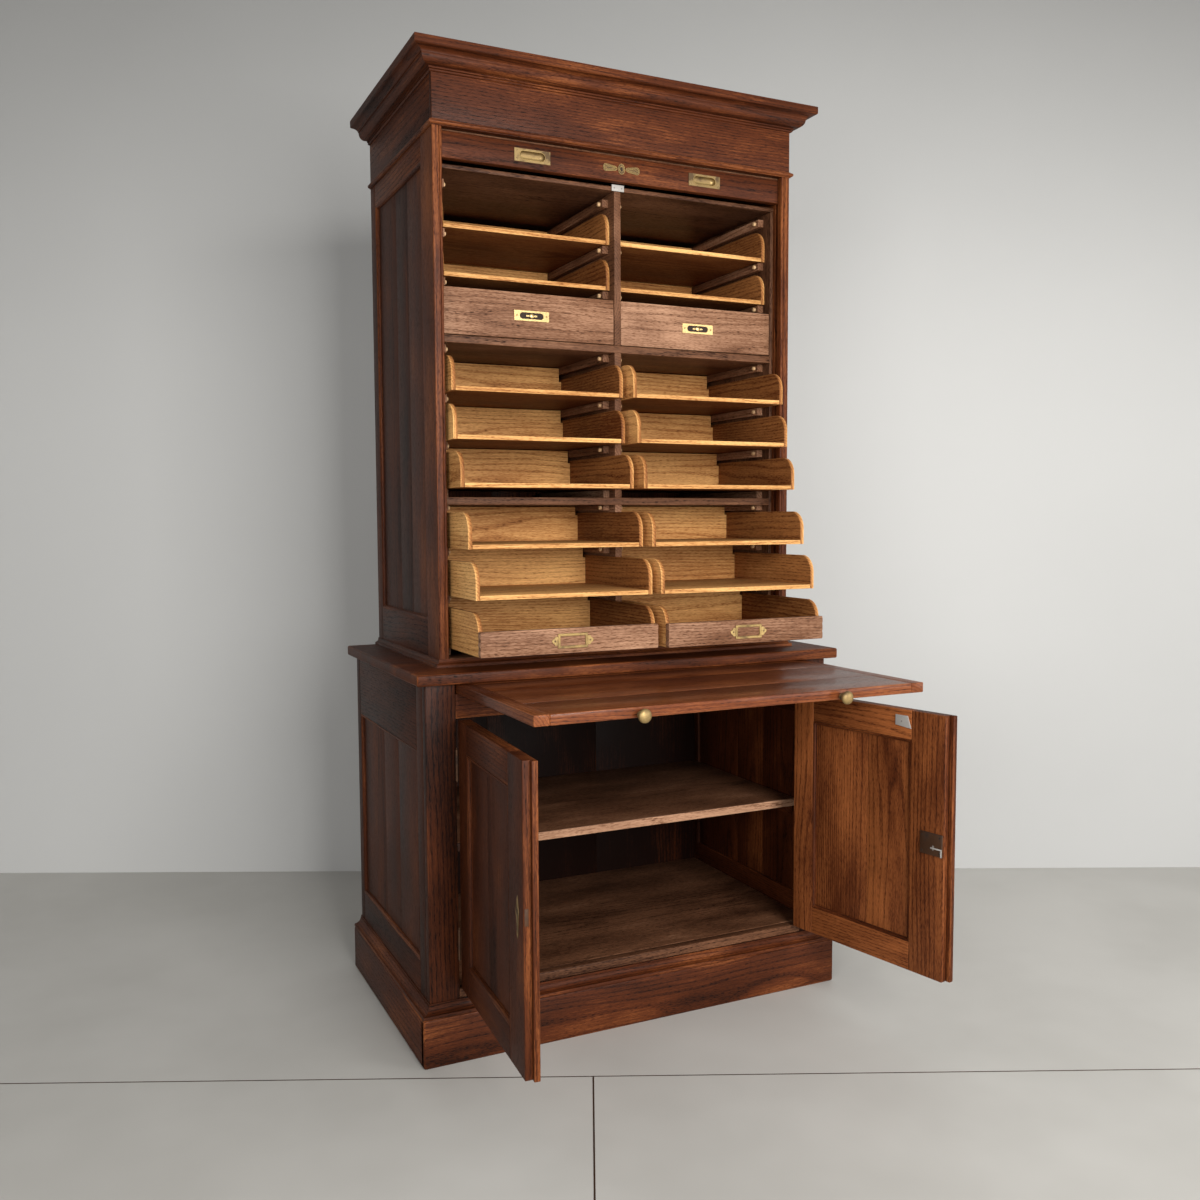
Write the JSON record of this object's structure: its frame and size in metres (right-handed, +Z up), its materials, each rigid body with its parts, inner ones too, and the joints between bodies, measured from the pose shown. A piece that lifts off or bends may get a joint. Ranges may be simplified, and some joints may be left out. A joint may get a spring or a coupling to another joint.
{
  "type": "roller shutter filing cabinet",
  "caption": "Tall oak filing cabinet with a roller tambour over sliding paper trays and drawers, on a cupboard base with a pull-out writing slide and panelled doors.",
  "frame": {"origin": "on the floor, in the middle of the plinth's footprint", "axes": "+X to the right as a user facing the doors sees it, +Y to the back, +Z up"},
  "size_m": [1.012, 1.01, 2.043],
  "materials": {
    "stained_oak": "dark stained, satin",
    "polished_oak": "dark stained, polished",
    "brown_oak": "brown stained, satin",
    "golden_oak": "light oiled",
    "pale_wood": "bare turned wood",
    "aged_brass": "aged",
    "bright_brass": "polished",
    "steel": "worn",
    "dark_iron": "dark, worn"
  },
  "bodies": {
    "cabinet": {"upper_sides": "stained_oak", "side_panels": "stained_oak", "inner_uprights": "brown_oak", "cross_shelves": "brown_oak", "upper_boards": "brown_oak", "upper_back": "stained_oak", "frieze": "stained_oak", "astragal": "stained_oak", "cornice": "stained_oak", "foot_moulding": "stained_oak", "runners": "golden_oak", "runner_pegs": "pale_wood", "strike_plate": "steel", "stored_slats": "brown_oak", "base_sides": "stained_oak", "top_board": "stained_oak", "slide_rails": "stained_oak", "base_bottom": "stained_oak", "base_back": "stained_oak", "plinth": "stained_oak", "plinth_moulding": "stained_oak", "cupboard_shelf": "brown_oak", "shelf_cleats": "brown_oak", "hinges": "dark_iron"},
    "tambour": {"lead_rail": "stained_oak", "rail_pulls": "aged_brass", "rail_escutcheon": "aged_brass", "rail_lock": "dark_iron", "front_slats": "brown_oak"},
    "writing_slide": {"writing_slide": "polished_oak", "slide_knobs": "aged_brass"},
    "door_left": {"door_left": "stained_oak", "door_panel_left": "stained_oak", "door_fittings_left": "dark_iron"},
    "door_right": {"door_right": "stained_oak", "door_panel_right": "stained_oak", "door_fittings_right": "dark_iron"},
    "drawer_left": {"drawer_left": "brown_oak", "drawer_plate_left": "bright_brass"},
    "drawer_right": {"drawer_right": "brown_oak", "drawer_plate_right": "bright_brass"},
    "tray_left_1": {"tray_left_1": "golden_oak"},
    "tray_left_2": {"tray_left_2": "golden_oak"},
    "tray_left_3": {"tray_left_3": "golden_oak"},
    "tray_left_4": {"tray_left_4": "golden_oak"},
    "tray_left_5": {"tray_left_5": "golden_oak"},
    "tray_left_6": {"tray_left_6": "golden_oak"},
    "tray_left_7": {"tray_left_7": "golden_oak"},
    "tray_left_8": {"tray_left_8": "golden_oak", "card_holder_left": "bright_brass"},
    "tray_right_1": {"tray_right_1": "golden_oak"},
    "tray_right_2": {"tray_right_2": "golden_oak"},
    "tray_right_3": {"tray_right_3": "golden_oak"},
    "tray_right_4": {"tray_right_4": "golden_oak"},
    "tray_right_5": {"tray_right_5": "golden_oak"},
    "tray_right_6": {"tray_right_6": "golden_oak"},
    "tray_right_7": {"tray_right_7": "golden_oak"},
    "tray_right_8": {"tray_right_8": "golden_oak", "card_holder_right": "bright_brass"}
  },
  "joints": [
    {"name": "tambour_slide", "type": "slide", "parent": "cabinet", "child": "tambour", "axis": [0, 0, 1], "range_m": [-0.38, 0], "deforming": ["front_slats"]},
    {"name": "writing_slide_out", "type": "slide", "parent": "cabinet", "child": "writing_slide", "axis": [0, -1, 0], "range_m": [-0.412, 0.028]},
    {"name": "door_left_swing", "type": "hinge", "parent": "cabinet", "child": "door_left", "pos_m": [-0.421, -0.28, 0.4], "axis": [0, 0, -1], "range_deg": [-93.5, 66.5]},
    {"name": "door_right_swing", "type": "hinge", "parent": "cabinet", "child": "door_right", "pos_m": [0.421, -0.28, 0.4], "axis": [0, 0, 1], "range_deg": [-101.5, 58.5]},
    {"name": "tray_left_1_slide", "type": "slide", "parent": "cabinet", "child": "tray_left_1", "axis": [0, -1, 0], "range_m": [0, 0.27]},
    {"name": "tray_left_2_slide", "type": "slide", "parent": "cabinet", "child": "tray_left_2", "axis": [0, -1, 0], "range_m": [0, 0.27]},
    {"name": "tray_left_3_slide", "type": "slide", "parent": "cabinet", "child": "tray_left_3", "axis": [0, -1, 0], "range_m": [-0.065, 0.205]},
    {"name": "tray_left_4_slide", "type": "slide", "parent": "cabinet", "child": "tray_left_4", "axis": [0, -1, 0], "range_m": [-0.074, 0.196]},
    {"name": "tray_left_5_slide", "type": "slide", "parent": "cabinet", "child": "tray_left_5", "axis": [0, -1, 0], "range_m": [-0.115, 0.155]},
    {"name": "tray_left_6_slide", "type": "slide", "parent": "cabinet", "child": "tray_left_6", "axis": [0, -1, 0], "range_m": [-0.157, 0.113]},
    {"name": "tray_left_7_slide", "type": "slide", "parent": "cabinet", "child": "tray_left_7", "axis": [0, -1, 0], "range_m": [-0.199, 0.071]},
    {"name": "tray_left_8_slide", "type": "slide", "parent": "cabinet", "child": "tray_left_8", "axis": [0, -1, 0], "range_m": [-0.224, 0.046]},
    {"name": "drawer_left_slide", "type": "slide", "parent": "cabinet", "child": "drawer_left", "axis": [0, -1, 0], "range_m": [0, 0.27]},
    {"name": "tray_right_1_slide", "type": "slide", "parent": "cabinet", "child": "tray_right_1", "axis": [0, -1, 0], "range_m": [0, 0.27]},
    {"name": "tray_right_2_slide", "type": "slide", "parent": "cabinet", "child": "tray_right_2", "axis": [0, -1, 0], "range_m": [0, 0.27]},
    {"name": "tray_right_3_slide", "type": "slide", "parent": "cabinet", "child": "tray_right_3", "axis": [0, -1, 0], "range_m": [-0.078, 0.192]},
    {"name": "tray_right_4_slide", "type": "slide", "parent": "cabinet", "child": "tray_right_4", "axis": [0, -1, 0], "range_m": [-0.098, 0.172]},
    {"name": "tray_right_5_slide", "type": "slide", "parent": "cabinet", "child": "tray_right_5", "axis": [0, -1, 0], "range_m": [-0.127, 0.143]},
    {"name": "tray_right_6_slide", "type": "slide", "parent": "cabinet", "child": "tray_right_6", "axis": [0, -1, 0], "range_m": [-0.165, 0.105]},
    {"name": "tray_right_7_slide", "type": "slide", "parent": "cabinet", "child": "tray_right_7", "axis": [0, -1, 0], "range_m": [-0.204, 0.066]},
    {"name": "tray_right_8_slide", "type": "slide", "parent": "cabinet", "child": "tray_right_8", "axis": [0, -1, 0], "range_m": [-0.238, 0.032]},
    {"name": "drawer_right_slide", "type": "slide", "parent": "cabinet", "child": "drawer_right", "axis": [0, -1, 0], "range_m": [0, 0.27]}
  ]
}
